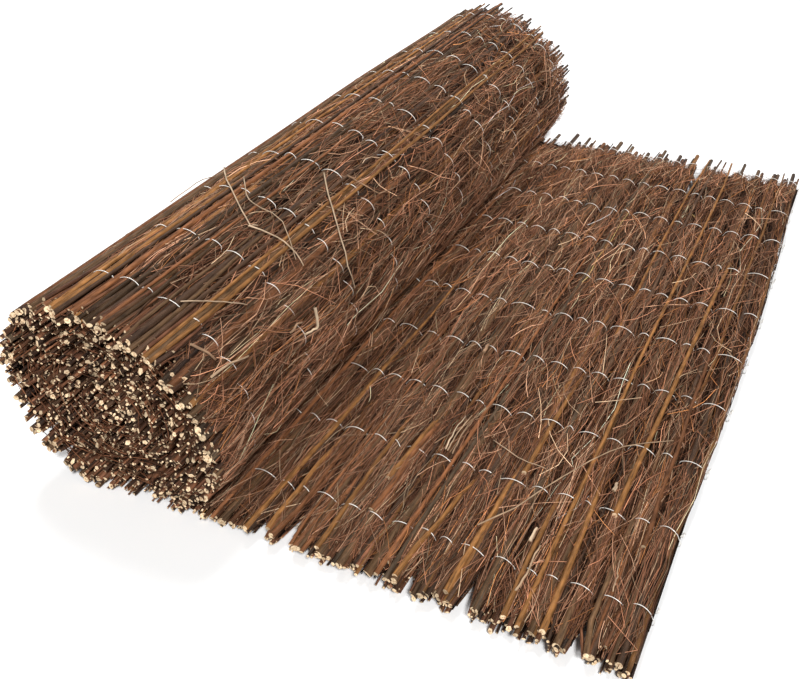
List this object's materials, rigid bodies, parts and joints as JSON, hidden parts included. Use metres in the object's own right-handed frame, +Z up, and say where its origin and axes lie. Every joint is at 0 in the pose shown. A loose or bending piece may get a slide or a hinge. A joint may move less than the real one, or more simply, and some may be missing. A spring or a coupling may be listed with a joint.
{
  "type": "heather screen",
  "caption": "Half-unrolled heather screen: a mat of heather brush and thick sticks bound in bundles by rows of wire, for screening a fence or balcony.",
  "frame": {"origin": "on the ground, in the middle of the flat spot below the roll, half-way along the roll", "axes": "+Y along the sticks and the roll, +X from the roll towards the free edge of the mat, +Z up"},
  "size_m": [0.6259, 1.0179, 0.208],
  "materials": {
    "brush": "dry dark brown heather twigs",
    "bark_stick": "grey-brown bark",
    "golden_stick": "golden-brown bark",
    "wire": "dull galvanised wire"
  },
  "bodies": {
    "root": {"binding_wire_01": "wire", "binding_wire_02": "wire", "binding_wire_03": "wire", "binding_wire_04": "wire", "binding_wire_05": "wire", "binding_wire_06": "wire", "binding_wire_07": "wire", "binding_wire_08": "wire", "binding_wire_09": "wire", "binding_wire_10": "wire", "brush_mat": "brush", "rod_01": "bark_stick", "rod_02": "golden_stick", "rod_03": "bark_stick", "rod_04": "bark_stick", "rod_05": "golden_stick", "rod_06": "bark_stick", "rod_07": "bark_stick", "rod_08": "golden_stick", "rod_09": "bark_stick", "rod_10": "bark_stick", "rod_11": "golden_stick", "rod_12": "bark_stick", "rod_13": "bark_stick", "rod_14": "golden_stick", "rod_15": "bark_stick", "rod_16": "bark_stick", "rod_17": "golden_stick", "rod_18": "bark_stick", "rod_19": "bark_stick", "rod_20": "golden_stick", "rod_21": "bark_stick", "rod_22": "bark_stick", "rod_23": "golden_stick", "rod_24": "bark_stick", "rod_25": "bark_stick", "rod_26": "golden_stick", "rod_27": "bark_stick", "rod_28": "bark_stick", "rod_29": "golden_stick", "rod_30": "bark_stick", "rod_31": "bark_stick", "rod_32": "golden_stick", "rod_33": "bark_stick"}
  },
  "joints": []
}
